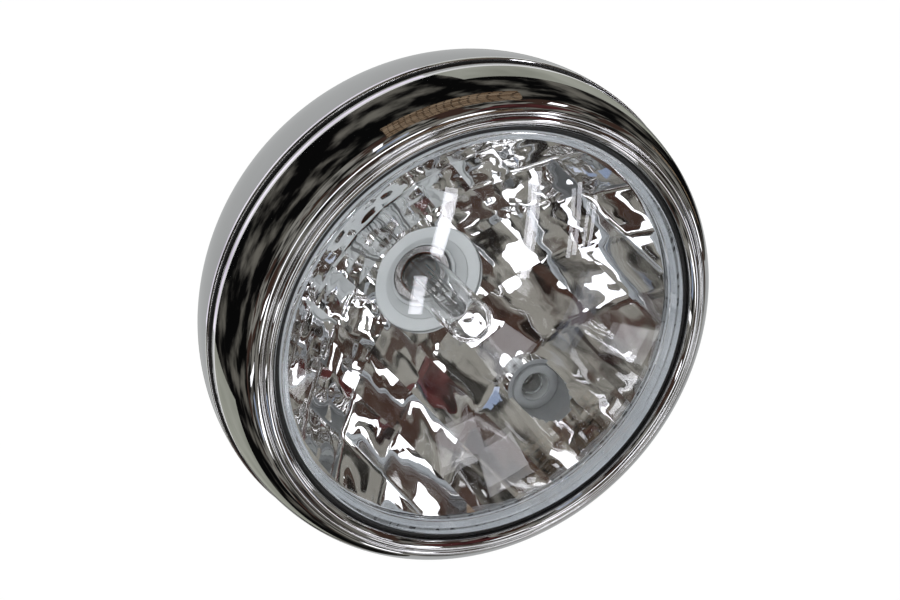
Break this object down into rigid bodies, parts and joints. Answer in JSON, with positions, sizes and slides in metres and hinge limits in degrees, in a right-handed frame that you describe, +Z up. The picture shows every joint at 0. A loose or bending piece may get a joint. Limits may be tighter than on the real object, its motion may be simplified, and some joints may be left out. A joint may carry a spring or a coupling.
{
  "type": "motorcycle headlight",
  "caption": "Round chrome motorcycle headlight: bowl-shaped shell, beaded bezel, clear domed lens, faceted mirror, main bulb and pilot lamp, hung by two side bolts.",
  "frame": {"origin": "where the lamp's optical axis meets the common axis of the two side bolts", "axes": "the lens faces -Y, +Z is up, and +X runs along the side bolts"},
  "size_m": [0.194, 0.1175, 0.1954],
  "materials": {
    "chrome": "bright mirror chrome plate",
    "plated_steel": "zinc plated",
    "spring_steel": "plain spring steel",
    "black_rubber": "matt moulded rubber",
    "clear_glass": "clear pressed glass",
    "mirror_coat": "bright vacuum coated facets",
    "pale_plastic": "satin moulded",
    "grey_plastic": "satin moulded",
    "dark_plastic": "satin moulded",
    "brass_blade": "stamped",
    "bulb_glass": "clear blown glass",
    "filament_wire": "drawn wire"
  },
  "bodies": {
    "root": {"shell": "chrome", "side_boss_left": "plated_steel", "side_boss_right": "plated_steel", "rear_grommet": "black_rubber", "seam_seal": "black_rubber", "bezel": "chrome", "top_hook": "spring_steel", "screw_bracket": "spring_steel", "bracket_nut": "plated_steel", "bezel_screw": "plated_steel", "lens": "clear_glass", "lens_gasket": "black_rubber", "reflector": "mirror_coat", "clamp_ring": "spring_steel", "clamp_clips": "spring_steel", "bulb_collar": "pale_plastic", "bulb_cap": "plated_steel", "bulb_insulator": "dark_plastic", "bulb_terminals": "brass_blade", "bulb_glass": "bulb_glass", "bulb_shield": "plated_steel", "filament_high": "filament_wire", "filament_low": "filament_wire", "bulb_clip": "spring_steel", "bulb_boot": "black_rubber", "pilot_holder": "grey_plastic", "pilot_glass": "bulb_glass", "pilot_filament": "filament_wire", "pilot_socket": "dark_plastic", "pilot_terminals": "brass_blade"}
  },
  "joints": []
}
